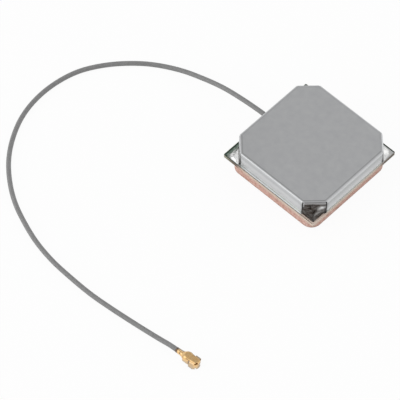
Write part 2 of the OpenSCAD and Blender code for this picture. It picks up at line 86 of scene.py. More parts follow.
def to_linear(code):
    """sRGB hex to linear red, green and blue with full alpha."""
    rgb = np.array([int(code[i:i + 2], 16) for i in (0, 2, 4)]) / 255
    linear = np.where(rgb <= 0.04045, rgb / 12.92, ((rgb + 0.055) / 1.055) ** 2.4)
    return (*linear.tolist(), 1.0)


def add(tree, kind, values=None, links=None, **settings):
    """Adds a node: settings are its properties, values fill its inputs and links join them to outputs."""
    node = tree.nodes.new("ShaderNode" + kind)
    for name, value in settings.items():
        setattr(node, name, value)
    for socket, value in (values or {}).items():
        node.inputs[socket].default_value = value
    for socket, (source, output) in (links or {}).items():
        tree.links.new(source.outputs[output], node.inputs[socket])
    return node


def blank(owner):
    """The node tree of a new material or world, switched on and emptied."""
    owner.use_nodes = True
    owner.node_tree.nodes.clear()
    return owner.node_tree


def start(name, values):
    """A material with one Principled surface, and the object's own coordinates to draw patterns on."""
    made = bpy.data.materials.new(name)
    tree = blank(made)
    surface = add(tree, "BsdfPrincipled", values=values)
    add(tree, "OutputMaterial", links={"Surface": (surface, "BSDF")})
    return made, tree, surface, add(tree, "TexCoord")


def per_mm(size):
    """Scale of a pattern whose marks are size millimetres wide, on coordinates in metres."""
    return 1 / (size * MM)


def clouds(tree, where, size, detail=3.0, stretch=(1, 1, 1)):
    """Noise with marks of that size, drawn out along an axis where stretch is above 1."""
    scaled = add(tree, "Mapping", values={"Scale": [1 / s for s in stretch]},
                 links={"Vector": (where, "Object")})
    return add(tree, "TexNoise", values={"Scale": per_mm(size), "Detail": detail},
               links={"Vector": (scaled, "Vector")})


def shade(tree, surface, pattern, colours):
    """The pattern blends the colours, from the first at its low values to the last at its high ones."""
    ramp = add(tree, "ValToRGB", links={"Fac": (pattern, 0)})
    stops = ramp.color_ramp.elements
    low, high = stops[0].position, stops[1].position = NOISE
    stops[0].color, stops[1].color = to_linear(colours[0]), to_linear(colours[-1])
    for i, code in enumerate(colours[1:-1], 1):
        stops.new(low + (high - low) * i / (len(colours) - 1)).color = to_linear(code)
    tree.links.new(ramp.outputs["Color"], surface.inputs["Base Color"])
    return ramp


def gloss(tree, surface, pattern, low, high):
    """The pattern moves the roughness from low to high."""
    moved = add(tree, "MapRange", links={"Value": (pattern, 0)},
                values={"From Min": NOISE[0], "From Max": NOISE[1], "To Min": low, "To Max": high})
    tree.links.new(moved.outputs["Result"], surface.inputs["Roughness"])


def relief(tree, surface, pattern, depth, under=None):
    """The pattern stands up to depth millimetres proud, on top of another relief where one is given."""
    links = {"Height": (pattern, 0)}
    if under:
        links["Normal"] = (under, "Normal")
    bump = add(tree, "Bump", values={"Strength": 1.0, "Distance": depth * MM}, links=links)
    tree.links.new(bump.outputs["Normal"], surface.inputs["Normal"])
    return bump


def flux_and_shade_glaze(tree, surface, where, metal):
    """Burnt flux, painted shade and a painted dark reflection over tinned metal: where the piece's own value
    for the glaze is high, a dark brown glaze covers the metal, thinner in drawn-out streaks."""
    amount = add(tree, "Attribute", attribute_name="flux_and_shade")
    streaks = add(tree, "MapRange", links={"Value": (clouds(tree, where, 0.35, stretch=(3, 3, 1)), 0)},
                  values={"From Min": HARD_NOISE[0], "From Max": HARD_NOISE[1], "To Min": 0.89})
    cover = add(tree, "Math", operation="MULTIPLY", links={0: (amount, "Fac"), 1: (streaks, "Result")})
    glazed = add(tree, "Mix", data_type="RGBA", values={OVER: to_linear("38312C")},
                 links={"Factor": (cover, "Value"), UNDER: metal})
    tree.links.new(glazed.outputs[MIXED], surface.inputs["Base Color"])


LEFT_DIMMING = (-8 * MM, -20 * MM)        # X + Y between which the can grows darker, towards the -X -Y corner
LEFT_DIMMING_SHARE = 0.08


def tinplate():
    """Cold-rolled steel sheet with a matte tin coat: soft grey clouds, a satin sheen and faint rolling
    lines. Painted shade darkens a line inside each fold and bands across the bends and upper walls of two
    sides, and the sheet grows darker towards the -X -Y corner. A painted highlight brightens the walls'
    feet, painted shade browns the sheet beside the seams, and the soldered tab is glazed brown for burnt flux
    and a painted dark reflection."""
    made, tree, surface, where = start("tinplate", {"Metallic": 1.0})
    ramp = shade(tree, surface, clouds(tree, where, 1.6, 4.0), ["CFD0D2", "D6D7D8"])
    place = add(tree, "SeparateXYZ", links={"Vector": (where, "Object")})
    total = add(tree, "Math", operation="ADD", links={0: (place, "X"), 1: (place, "Y")})
    left_dimming = add(tree, "MapRange", values={"From Min": LEFT_DIMMING[0], "From Max": LEFT_DIMMING[1], "To Max": LEFT_DIMMING_SHARE},
                  links={"Value": (total, "Value")})
    # painted shade: a line inside each fold, and bands across two bends and walls
    fold_shade = add(tree, "Attribute", attribute_name="painted_shade")
    foot = add(tree, "Attribute", attribute_name="foot")
    darkening = add(tree, "Math", operation="ADD", use_clamp=True,
                   links={0: (fold_shade, "Fac"), 1: (left_dimming, "Result")})
    darkened = add(tree, "Mix", data_type="RGBA", values={OVER: to_linear("A6A8A8")},
                 links={"Factor": (darkening, "Value"), UNDER: (ramp, "Color")})
    # painted highlight along the walls' feet
    foot_lit = add(tree, "Mix", data_type="RGBA", values={OVER: to_linear("E8EEE4")},
                 links={"Factor": (foot, "Fac"), UNDER: (darkened, MIXED)})
    # brown glaze: burnt flux, painted shade at the seams and a painted dark reflection on the soldered tab
    flux_and_shade_glaze(tree, surface, where, (foot_lit, MIXED))
    gloss(tree, surface, clouds(tree, where, 0.9), 0.30, 0.38)
    lines = relief(tree, surface, clouds(tree, where, 0.12, 2.0, stretch=(14, 1, 1)), 0.0015)
    relief(tree, surface, clouds(tree, where, 0.35, 2.0), 0.004, under=lines)
    return made


LEFT_EAR = (-20 * MM, -23 * MM)   # X + Y between which the left ear's blots set in
NEAR_EAR = 22.9 * MM              # X - Y beyond which the near ear lies


def tinned_copper():
    """Board copper with a hot tin finish: bright, slightly wavy where the tin flowed, blotted grey green by
    flux on the left ear, and under a pale matte crust of dried flux on the near ear, soldered hottest."""
    made, tree, surface, where = start("tinned_copper", {"Metallic": 1.0})
    ramp = shade(tree, surface, clouds(tree, where, 1.1), ["D6D7D8", "E4E5E4"])
    place = add(tree, "SeparateXYZ", links={"Vector": (where, "Object")})
    total = add(tree, "Math", operation="ADD", links={0: (place, "X"), 1: (place, "Y")})
    left = add(tree, "MapRange", values={"From Min": LEFT_EAR[0], "From Max": LEFT_EAR[1]},
               links={"Value": (total, "Value")})
    blots = add(tree, "MapRange", values={"From Min": 0.38, "From Max": 0.62, "To Min": 0.25},
                links={"Value": (clouds(tree, where, 0.5, 4.0), 0)})
    stain_and_shade_level = add(tree, "Math", operation="MULTIPLY", links={0: (left, "Result"), 1: (blots, "Result")})
    stain_and_shade = add(tree, "Mix", data_type="RGBA", values={OVER: to_linear("8D958A")},
                  links={"Factor": (stain_and_shade_level, "Value"), UNDER: (ramp, "Color")})
    across = add(tree, "Math", operation="SUBTRACT", links={0: (place, "X"), 1: (place, "Y")})
    residue = add(tree, "Math", operation="GREATER_THAN", values={1: NEAR_EAR},
                  links={0: (across, "Value")})
    crusted = add(tree, "Mix", data_type="RGBA", values={OVER: to_linear("D8C5B8")},
                  links={"Factor": (residue, "Value"), UNDER: (stain_and_shade, MIXED)})
    tree.links.new(crusted.outputs[MIXED], surface.inputs["Base Color"])
    bare = add(tree, "Math", operation="SUBTRACT", values={0: 1.0}, links={1: (residue, "Value")})
    tree.links.new(bare.outputs["Value"], surface.inputs["Metallic"])
    gloss(tree, surface, clouds(tree, where, 0.6), 0.14, 0.26)
    relief(tree, surface, clouds(tree, where, 0.9, 2.0), 0.03)
    return made


def solder():
    """Tin solder that set from the melt: mirror-bright with drawn-out ripples and a few duller patches. It is
    glazed brown for burnt flux, for painted shade along the tabs and for a painted dark reflection on the
    near corner."""
    made, tree, surface, where = start("solder", {"Metallic": 1.0})
    ramp = shade(tree, surface, clouds(tree, where, 0.8), ["D8D9D9", "F0F0EE"])
    flux_and_shade_glaze(tree, surface, where, (ramp, "Color"))
    gloss(tree, surface, clouds(tree, where, 0.5), 0.08, 0.24)
    swell = relief(tree, surface, clouds(tree, where, 0.9, 2.0), 0.07)
    relief(tree, surface, clouds(tree, where, 0.4, 2.0, stretch=(1, 1, 2.5)), 0.04, under=swell)
    return made


RESIST_RIM = ((BOARD_HALF - 0.55) * MM, (BOARD_HALF - 0.35) * MM)   # where the resist turns near black
SAWN_ARRIS = (BOARD_HALF - 0.06) * MM     # where the bare line along the sawn arris starts
ARRIS_EXTRA = 0.2 * MM                    # how much wider that line is on the +X side
NEAR_EDGE_SPAN = 7 * MM                       # X - Y from which the sawn edge takes its palest colour
RIGHT_SHADE, RIGHT_SHADE_SHARE = 1 * MM, 0.42   # painted shade on the +X edge: X where it is full, and its share
PALE_RIM_X = (13.1 * MM, 13.2 * MM)          # X beyond which the resist's rim turns pale
# Colours of the sawn edge from the left ear over the right one to the near ear: painted shade near both ears
EDGE_ENDS = ("A3A28F", "D7C3B3")
EDGE_STOPS = ((0.2, "8B8778"), (0.42, "6F6458"), (0.56, "77695E"), (0.7, "C4AB9C"))


def lacquered_laminate():
    """Glass-fibre laminate under green solder resist. The resist is a mottled grey green over copper,
    near black over bare laminate at the rim, and pale on the rim at +X towards the near corner. The sawn edge
    has fibre lines and is tan, darkened by painted shade near the left and right ears and paler towards the
    near one. A pale bare line runs along its arris, wider on the +X side."""
    made, tree, surface, where = start("lacquered_laminate", {"IOR": 1.52})
    place = add(tree, "SeparateXYZ", links={"Vector": (where, "Object")})
    away = [add(tree, "Math", operation="ABSOLUTE", links={0: (place, axis)}) for axis in ("X", "Y")]
    rim = add(tree, "Math", operation="MAXIMUM", links={0: (away[0], "Value"), 1: (away[1], "Value")})
    outside = add(tree, "MapRange", values={"From Min": RESIST_RIM[0], "From Max": RESIST_RIM[1]},
                  links={"Value": (rim, "Value")})
    mottle = clouds(tree, where, 0.45, 4.0)
    over_copper = add(tree, "ValToRGB", links={"Fac": (mottle, 0)})
    stops = over_copper.color_ramp.elements
    stops[0].position, stops[1].position = HARD_NOISE
    stops[0].color, stops[1].color = to_linear("56695C"), to_linear("87968A")
    over_laminate = add(tree, "ValToRGB", links={"Fac": (mottle, 0)})
    stops = over_laminate.color_ramp.elements
    stops[0].color, stops[1].color = to_linear("14201A"), to_linear("2F4D3C")
    lacquer = add(tree, "Mix", data_type="RGBA", links={
        "Factor": (outside, "Result"), UNDER: (over_copper, "Color"), OVER: (over_laminate, "Color")})
    across = add(tree, "Math", operation="SUBTRACT", links={0: (place, "X"), 1: (place, "Y")})
    # painted shade near the ears, paler towards the near corner
    stain_and_shade = add(tree, "MapRange", values={"From Max": NEAR_EDGE_SPAN}, links={"Value": (across, "Value")})
    # painted shade on the +X edge, towards the right ear
    right = add(tree, "MapRange", values={"From Max": RIGHT_SHADE, "To Max": RIGHT_SHADE_SHARE},
                links={"Value": (place, "X")})
    darkest = add(tree, "Math", operation="MAXIMUM", links={0: (stain_and_shade, "Result"), 1: (right, "Result")})
    edge = add(tree, "ValToRGB", links={"Fac": (darkest, "Value")})
    stops = edge.color_ramp.elements
    stops[0].color, stops[1].color = to_linear(EDGE_ENDS[0]), to_linear(EDGE_ENDS[1])
    for position, code in EDGE_STOPS:
        stops.new(position).color = to_linear(code)
    fibres = clouds(tree, where, 0.09, 2.0, stretch=(12, 12, 1))
    lines = add(tree, "MapRange", links={"Value": (fibres, 0)}, values={
        "From Min": HARD_NOISE[0], "From Max": HARD_NOISE[1], "To Min": 0.86, "To Max": 1.06})
    sawn = add(tree, "VectorMath", operation="SCALE",
               links={0: (edge, "Color"), "Scale": (lines, "Result")})
    shape = add(tree, "NewGeometry")
    facing = add(tree, "SeparateXYZ", links={"Vector": (shape, "Normal")})
    flat = add(tree, "Math", operation="ABSOLUTE", links={0: (facing, "Z")})
    face = add(tree, "Math", operation="GREATER_THAN", values={1: 0.5}, links={0: (flat, "Value")})
    wider = add(tree, "Math", operation="ADD", values={1: ARRIS_EXTRA}, links={0: (place, "X")})
    outer = add(tree, "Math", operation="MAXIMUM", links={0: (rim, "Value"), 1: (wider, "Value")})
    within = add(tree, "Math", operation="LESS_THAN", values={1: SAWN_ARRIS}, links={0: (outer, "Value")})
    lacquered = add(tree, "Math", operation="MULTIPLY", links={0: (face, "Value"), 1: (within, "Value")})
    # pale on the rim at +X, towards the near corner
    rim_paling = add(tree, "MapRange", values={"From Min": PALE_RIM_X[0], "From Max": PALE_RIM_X[1]},
                  links={"Value": (place, "X")})
    beside = add(tree, "Math", operation="MULTIPLY", links={0: (rim_paling, "Result"), 1: (stain_and_shade, "Result")})
    pale_rim_top = add(tree, "Math", operation="MULTIPLY", links={0: (face, "Value"), 1: (beside, "Value")})
    pale = add(tree, "Mix", data_type="RGBA", values={OVER: to_linear("F4E6DE")},
               links={"Factor": (pale_rim_top, "Value"), UNDER: (sawn, "Vector")})
    both = add(tree, "Mix", data_type="RGBA",
               links={"Factor": (lacquered, "Value"), UNDER: (pale, MIXED), OVER: (lacquer, MIXED)})
    tree.links.new(both.outputs[MIXED], surface.inputs["Base Color"])
    rough = add(tree, "MapRange", values={"To Min": 0.75, "To Max": 0.22},
                links={"Value": (lacquered, "Value")})
    tree.links.new(rough.outputs["Result"], surface.inputs["Roughness"])
    relief(tree, surface, fibres, 0.006)
    return made


LOW_SHADE = (1.1 * MM, 0.2 * MM)     # Z between which painted shade darkens the ceramic, towards its lower edges
LOW_SHADE_SHARE = 0.6


def sintered_ceramic():
    """Microwave ceramic, pressed and fired: matte pinkish tan, finely grained and blotched, with a few
    darker specks, and painted shade along its lower edges."""
    made, tree, surface, where = start("sintered_ceramic", {"Roughness": 0.78, "IOR": 1.6})
    ramp = shade(tree, surface, clouds(tree, where, 0.7, 6.0), ["BC8C7A", "D2A99B", "DFBEB3"])
    dots = add(tree, "MapRange", values={"From Min": 0.68, "From Max": 0.74, "To Max": 0.5},
               links={"Value": (clouds(tree, where, 0.25, 1.0), 0)})
    specked = add(tree, "Mix", data_type="RGBA", values={OVER: to_linear("A67C70")},
                  links={"Factor": (dots, "Result"), UNDER: (ramp, "Color")})
    place = add(tree, "SeparateXYZ", links={"Vector": (where, "Object")})
    # painted shade along the lower edges
    low = add(tree, "MapRange", values={"From Min": LOW_SHADE[0], "From Max": LOW_SHADE[1], "To Max": LOW_SHADE_SHARE},
              links={"Value": (place, "Z")})
    shaded_low = add(tree, "Mix", data_type="RGBA", values={OVER: to_linear("86685E")},
                 links={"Factor": (low, "Result"), UNDER: (specked, MIXED)})
    tree.links.new(shaded_low.outputs[MIXED], surface.inputs["Base Color"])
    relief(tree, surface, clouds(tree, where, 0.16, 4.0), 0.01)
    return made


SCREEN_WEAVE = 0.6 * np.pi        # period in millimetres; the real weave is too fine to show
WAVE_UNIT = 20 / (2 * np.pi)      # bands of a wave node over one unit at scale 1


def fired_silver():
    """Silver paste, screen-printed and fired: matte near-white metal with the screen's weave and warm
    clouds."""
    made, tree, surface, where = start("fired_silver", {"Metallic": 1.0})
    shade(tree, surface, clouds(tree, where, 3.0, 4.0), ["D9D6CC", "E8E7E2"])
    gloss(tree, surface, clouds(tree, where, 0.8), 0.36, 0.5)
    wave = {"Scale": per_mm(SCREEN_WEAVE) / WAVE_UNIT, "Distortion": 0.4}
    weave = [add(tree, "TexWave", bands_direction=way, values=wave, links={"Vector": (where, "Object")})
             for way in ("X", "Y")]
    mesh = add(tree, "Math", operation="MULTIPLY", links={0: (weave[0], "Fac"), 1: (weave[1], "Fac")})
    relief(tree, surface, mesh, 0.006)
    return made


def gilded_sheet():
    """Brass strip flashed with gold over nickel: warm yellow and softly bright with fine rolling lines,
    paler and greyer towards the lower edges. Painted shade greys it on its +Y side and darkens it in the
    folds, the pinch, the cut end and the strap's lower end."""
    made, tree, surface, where = start("gilded_brass", {"Metallic": 1.0})
    ramp = shade(tree, surface, clouds(tree, where, 0.5), ["EDBF80", "F6D29C"])
    # paler and greyer: towards the lower edges, and by painted shade on the +Y side
    wear_and_shade_level = add(tree, "Attribute", attribute_name="wear_and_shade")
    wear_and_shade = add(tree, "Mix", data_type="RGBA", values={OVER: to_linear("BDB09E")},
               links={"Factor": (wear_and_shade_level, "Fac"), UNDER: (ramp, "Color")})
    # painted shade in the folds and recesses, at the cut end and on the +Y side
    stain_and_shade_level = add(tree, "Attribute", attribute_name="stain_and_shade")
    both = add(tree, "Mix", data_type="RGBA", values={OVER: to_linear("66524A")},
               links={"Factor": (stain_and_shade_level, "Fac"), UNDER: (wear_and_shade, MIXED)})
    tree.links.new(both.outputs[MIXED], surface.inputs["Base Color"])
    marks = clouds(tree, where, 0.25, stretch=(4, 1, 1))
    gloss(tree, surface, marks, 0.20, 0.32)
    relief(tree, surface, marks, 0.003)
    return made


def plain(name, colours, low, high, size, depth, stretch=(1, 1, 1), **sockets):
    """A plain finish: two close shades, roughness from low to high, and marks of that size and depth in
    millimetres. Sockets are the shader's own, such as Metallic or IOR."""
    made, tree, surface, where = start(name, sockets)
    marks = clouds(tree, where, size, stretch=stretch)
    shade(tree, surface, clouds(tree, where, 2 * size), colours)
    gloss(tree, surface, marks, low, high)
    relief(tree, surface, marks, depth)
    return made


FINISHES = {
    "tinplate": tinplate(),
    "tinned_copper": tinned_copper(),
    "solder": solder(),
    "board": lacquered_laminate(),
    "sintered_ceramic": sintered_ceramic(),
    "fired_silver": fired_silver(),
    "gilded_sheet": gilded_sheet(),
    # Copper wire drawn through tin: grey and bright, with fine drawing lines
    "tinned_wire": plain("tinned_wire", ["C6C6C4", "D8D8D5"], 0.25, 0.4, 0.1, 0.004, (6, 1, 1), Metallic=1),
    # Brass pin, turned and tinned: pale warm grey
    "tinned_pin": plain("tinned_brass", ["CDC9C0", "DBD8D0"], 0.22, 0.3, 0.2, 0.003, Metallic=1),
    # Etched copper, slightly oxidised: dull brown-red
    "bare_copper": plain("etched_copper", ["A5683F", "BE8257"], 0.35, 0.5, 0.4, 0.004, Metallic=1),
    # Fluoropolymer jacket, extruded: smooth mid grey, faintly glossy, nearly even along its length
    "jacket": plain("fluoropolymer_jacket", ["858585", "8F8F8F"], 0.34, 0.44, 0.35, 0.004, IOR=1.36),
    # Fluoropolymer insulation: milky white and soft-looking
    "insulation": plain("fluoropolymer_insulation", ["E6E6E3", "EFEFED"], 0.3, 0.4, 0.3, 0.003, IOR=1.35),
    # Double-sided acrylic tape: cream, matte at its cut edge
    "tape": plain("acrylic_tape", ["DAD2BC", "E4DDCB"], 0.5, 0.65, 0.5, 0.01, IOR=1.47),
    # Epoxy moulding compound: black, finely grained
    "chip_case": plain("moulded_epoxy", ["1B1B1D", "242427"], 0.45, 0.6, 0.1, 0.006, IOR=1.55),
    # Alumina filter case: ivory, matte
    "filter_case": plain("alumina_case", ["C9C0A0", "D6CDB2"], 0.5, 0.62, 0.2, 0.005, IOR=1.75),
    # Barium titanate capacitor bodies: brown, matte
    "capacitor_body": plain("titanate_chip", ["95704F", "A67F5C"], 0.45, 0.6, 0.12, 0.005, IOR=1.8),
    # Glazed resistor bodies: near black, glossy
    "resistor_body": plain("glazed_chip", ["19191B", "222225"], 0.15, 0.25, 0.15, 0.002, IOR=1.5),
    # Ferrite inductor bodies: dark blue-grey
    "inductor_body": plain("ferrite_chip", ["4C5767", "5A6677"], 0.4, 0.55, 0.12, 0.004, IOR=1.8),
    # Liquid crystal polymer of the plug's insert: ivory, faintly streaked
    "plug_plastic": plain("moulded_polymer", ["DDD7C8", "E8E3D7"], 0.4, 0.5, 0.15, 0.003, (1, 1, 4),
                          IOR=1.6),
}
node_slots = {row["node"]: row["material_slot"] for row in frame["record"]["subparts"]}
for name, solid in frame["nodes"].items():
    solid.data.materials.clear()
    solid.data.materials.append(FINISHES[node_slots[name]])


# Meshes
def grid_faces(rows, columns, closed_columns=False):
    """Quads between neighbouring points of a grid counted row by row. Closed columns join the last to the
    first."""
    r, c = np.meshgrid(np.arange(rows - 1), np.arange(columns - (not closed_columns)), indexing="ij")
    beside = (c + 1) % columns
    corners = [r * columns + c, r * columns + beside, (r + 1) * columns + beside, (r + 1) * columns + c]
    return np.stack(corners, -1).reshape(-1, 4)


def piece(name, points_mm, faces, slot, replaced, sharp_angle=None, marks=None):
    """A mesh object at the origin, merged where points coincide, that stands for the replaced nodes.
    Marks are named values of its points, which its material reads."""
    mesh = bpy.data.meshes.new(name)
    mesh.from_pydata(np.asarray(points_mm) * MM, [], faces)
    for mark, values in (marks or {}).items():
        layer = mesh.attributes.new(mark, "FLOAT", "POINT")
        layer.data.foreach_set("value", np.asarray(values, np.float32))
    weld = bmesh.new()
    weld.from_mesh(mesh)
    bmesh.ops.remove_doubles(weld, verts=weld.verts, dist=0.0005 * MM)
    weld.to_mesh(mesh)
    weld.free()
    mesh.shade_smooth()
    if sharp_angle:
        mesh.set_sharp_from_angle(angle=np.radians(sharp_angle))
    mesh.materials.append(FINISHES[slot])
    made = bpy.data.objects.new(name, mesh)
    scene.collection.objects.link(made)
    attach(made, "root")
    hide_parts(*replaced)
    return made


def joined(parts):
    """One mesh's points, faces and marks from several grids, each given as its points, faces and marks."""
    starts = np.cumsum([0] + [part[2].size for part in parts])
    points = np.vstack([part[0].reshape(-1, 3) for part in parts])
    faces = np.vstack([part[1] + first for part, first in zip(parts, starts)]).tolist()
    marks = [np.concatenate([mark.ravel() for mark in same]) for same in zip(*(part[2:] for part in parts))]
    return points, faces, marks


def rise(value, start, run):
    """0 up to the start, 1 once the run is done, and straight between. A negative run goes the other way."""
    return np.clip((value - start) / run, 0, 1)


def thicken(made, sheet_mm, even=False):
    """Gives a surface the thickness of its sheet, inwards."""
    wall = made.modifiers.new("sheet", "SOLIDIFY")
    wall.thickness = sheet_mm * MM
    wall.offset = -1
    wall.use_even_offset = even


# Cable, its route in the same points as the solid's
CABLE_D = 1.13
CABLE_SIDES = 24
ROUTE_STEPS = 12
LIE = CABLE_D / 2
ROUTE = np.array([
    [-11.6, 0.4, 6.05], [-15.6, 0.4, 6.05], [-21.2, 0.5, 5.2], [-27.05, 0.6, 3.75], [-32.8, 0.15, 2.15],
    [-38.5, -1.05, 0.95], [-43.9, -3.75, LIE], [-48.5, -7.55, LIE], [-52.4, -12.15, LIE],
    [-55.3, -17.35, LIE], [-56.7, -23.15, LIE], [-56.8, -29.15, LIE], [-55.6, -34.95, LIE],
    [-53.1, -40.35, LIE], [-49.6, -45.25, LIE], [-45.2, -49.35, LIE], [-40.2, -52.65, LIE],
    [-34.7, -55.05, LIE], [-29, -56.85, LIE], [-23.1, -57.85, LIE], [-17.1, -58.15, LIE],
    [-11.2, -58.15, LIE], [-5.2, -57.65, LIE], [0.7, -56.95, LIE], [6.6, -56.2, 0.7],
    [9.95, -55.82, 1.05], [11.35, -55.7, 1.15], [12.86, -55.56, 1.15]])


def smooth_line(points, steps):
    """A line through all the points: between two of them a cubic whose slopes follow their neighbours."""
    p = np.vstack([2 * points[0] - points[1], points, 2 * points[-1] - points[-2]])
    t = (np.arange(steps) / steps)[None, :, None]
    a, b, c, d = (p[i:len(p) - 3 + i, None] for i in range(4))
    line = 0.5 * (2 * b + (c - a) * t + (2 * a - 5 * b + 4 * c - d) * t ** 2
                  + (3 * b - a - 3 * c + d) * t ** 3)
    return np.vstack([line.reshape(-1, points.shape[1]), points[-1]])


def tube(line, radius, sides):
    """Rings of points round a line, each a circle square to it."""
    ahead = np.gradient(line, axis=0)
    ahead /= np.linalg.norm(ahead, axis=1, keepdims=True)
    out = np.cross(ahead, [0, 0, 1])
    out /= np.linalg.norm(out, axis=1, keepdims=True)
    up = np.cross(out, ahead)
    turn = 2 * np.pi * np.arange(sides) / sides
    ring = np.cos(turn)[None, :, None] * out[:, None] + np.sin(turn)[None, :, None] * up[:, None]
    return (line[:, None] + radius * ring).reshape(-1, 3)


def tube_faces(rings, sides):
    """Quads along a tube and one flat face over each end, all pointing out."""
    last = (rings - 1) * sides
    ends = [list(range(sides))[::-1], list(range(last, last + sides))]
    return grid_faces(rings, sides, True).tolist() + ends


cable_line = smooth_line(ROUTE, ROUTE_STEPS)
cable_line[:, 2] = np.maximum(cable_line[:, 2], LIE)
cable = piece("cable", tube(cable_line, CABLE_D / 2, CABLE_SIDES), tube_faces(len(cable_line), CABLE_SIDES),
              "jacket", ["cable_jacket"], sharp_angle=50)

# Shield can. Its sides are counted by eighths of a turn from +X: even ones are walls, odd ones corner tabs
RIGHT_WALL, DOOR_WALL, LEFT_WALL, SOLDERED_TAB = 0, 4, 6, 7
CAN_CENTRE = np.array([0.2, 0.2])
CAN_SIDE, CAN_LEG, CAN_H, CAN_SHEET, BEND_R = 26.3, 3.7, 3.95, 0.2, 0.45
TAB_REACH = (CAN_SIDE - CAN_LEG) / np.sqrt(2)
TAB_HALF = CAN_LEG / np.sqrt(2)
Z_TRACK = 5.45
CAN_TOP = Z_TRACK + CAN_H
DOOR_Y, DOOR_Z, DOOR_R = 0.4, 6.05, 0.7
SEAM, SEAM_TOP = 0.3, 0.12      # width of an open seam, and how far below the fold it has that width
# Changes of that width at a side's two ends: one seam lies off its mitre
SEAM_SHIFT = {SOLDERED_TAB: (0, -0.14), RIGHT_WALL: (0.22, 0)}
CROWN = 0.05                    # how far the pressed top falls from its middle to its folds
CURL, CURL_W = 0.15, 0.45       # the sheared ends of a wall turn in this far, over this width
CURL_TOP, CURL_RUN = 0.15, 0.5  # that curl starts this far down and is full this much lower
WALL_STEPS, TAB_STEPS, DOOR_STEPS = 41, 13, 17
TOP_ROWS, BEND_ROWS, DROP_ROWS = 12, 9, 12
PLAIN_TOP = 0.93                # share of the way out to the fold that the top's even rows take
# The top's last rows, as shares of the way out to the fold. The middle two make a painted shade line: how
# dark each is, how strong the line is on each side, and how brown its inner row is on the soldered tab
CREASE = np.array([0.972, 0.984, 0.991, 1])
CREASE_SHADE = [[0.6], [1.0]]
CREASE_DEPTH = [0.8, 0.2, 0.2, 0.2, 0.3, 0.7, 0.85, 0.8]
CREASE_SHADE_GLAZE = 0.35
# Painted shade in bands across two bends and walls: millimetres below the top's middle, and how dark there
SHADE_BANDS = {LEFT_WALL: ([0.05, 0.25, 0.6, 0.9, 1.3, 1.8, 3.5], [0.1, 0.15, 0.45, 0.6, 0.33, 0.06, 0.0]),
          RIGHT_WALL: ([0.03, 0.25, 0.7, 1.2, 1.7, 2.3, 3.6], [0.0, 0.05, 0.75, 0.95, 0.72, 0.55, 0.1])}
FOOT_HIGHLIGHT = [[0.3], [1.0]]       # how strong the painted highlight is on the last two rows of a side
LEFT_HIGHLIGHT_SPAN = 8                    # the painted highlight on the left wall's foot is none this far towards -X, full as far towards +X
SEAM_SHADE_WIDTH, SEAM_SHADE = 0.5, 0.75   # painted shade browns a side over this width beside an open seam, and how much
SEAM_FADE = 0.4                 # that painted shade is full this far below the bend
# The soldered tab's glaze stands for burnt flux and a painted dark reflection
TAB_GLAZE = ([CROWN, 0.12, 0.55, 0.8], [0, 0.44, 0.56, 1])   # glaze on the soldered tab, from the fold downwards
TAB_GLAZE_FADE, TAB_GLAZE_LEAST = 0.5, 0.3   # it thins over this width at the tab's left end, to this share
# Bright patches on the hottest corner, where the glaze of burnt flux and painted dark reflection leaves the
# solder bare: how bare, place and width across, and place and width upwards in millimetres
BARE_PATCHES = ((0.97, 1.75, 0.8, 2.1, 0.4), (0.35, 0.7, 0.9, 1.15, 0.16))


def bare_patch(across, up):
    """How bare the flux and the painted dark reflection leave the metal: sum of bells over both distances."""
    return sum(share * np.exp(-((across - x) / x_width) ** 2 - ((up - z) / z_width) ** 2)
               for share, x, x_width, z, z_width in BARE_PATCHES)


def door_places(share, half):
    """Places across the door's wall, closer round the cable's arch and just beside its ends, and how far the
    foot rises at each: by the cable's height and a half circle inside the arch, and not at all beside it."""
    middle = CAN_CENTRE[1] - DOOR_Y
    arch = middle + DOOR_R * np.cos(np.linspace(np.pi, 0, DOOR_STEPS))
    beside = share[np.abs(share * half - middle) > DOOR_R + 0.05] * half
    across = np.concatenate([beside, arch, middle + DOOR_R * np.array([-1.01, 1.01])])
    across.sort()
    lifted = np.sqrt(np.clip(DOOR_R ** 2 - (across - middle) ** 2, 0, None)) + DOOR_Z - Z_TRACK
    return across / half, np.where(np.abs(across - middle) <= DOOR_R * 1.001, lifted, 0)


def side_marks(index, u, width, drop, fold):
    """How much painted shade, painted highlight and brown glaze each point of a side has, by its place across
    and its depth. The fold is the row where the bend starts, and the painted shade at a seam grows with the
    square of the nearness."""
    # painted shade in bands across two bends and walls, and a line of it inside the fold
    painted_shade = np.interp(drop, *SHADE_BANDS.get(index, ([0], [0])))
    painted_shade[:fold] = 0
    painted_shade[fold - 3:fold - 1] = np.array(CREASE_SHADE) * CREASE_DEPTH[index]
    foot_highlight = np.zeros_like(u)
    # painted highlight on the last two rows
    foot_highlight[-2:] = FOOT_HIGHLIGHT
    if index == LEFT_WALL:
        foot_highlight *= rise(u, -LEFT_HIGHLIGHT_SPAN, 2 * LEFT_HIGHLIGHT_SPAN)
    # painted shade beside the open seams
    beside_seam = rise(np.abs(u), width - SEAM_SHADE_WIDTH, SEAM_SHADE_WIDTH) ** 2
    flux_and_shade = SEAM_SHADE * beside_seam * rise(drop, BEND_R, SEAM_FADE)
    if index == SOLDERED_TAB:
        # burnt flux and a painted dark reflection on the soldered tab
        reach = np.maximum(rise(u, -TAB_HALF, TAB_GLAZE_FADE), TAB_GLAZE_LEAST)
        flux_and_shade = np.interp(drop, *TAB_GLAZE) * (1 - bare_patch(u, CAN_H - drop)) * reach
        # the fold's line of painted shade, browned on the soldered tab
        flux_and_shade[fold - 2] = CREASE_SHADE_GLAZE
    return painted_shade, foot_highlight, flux_and_shade


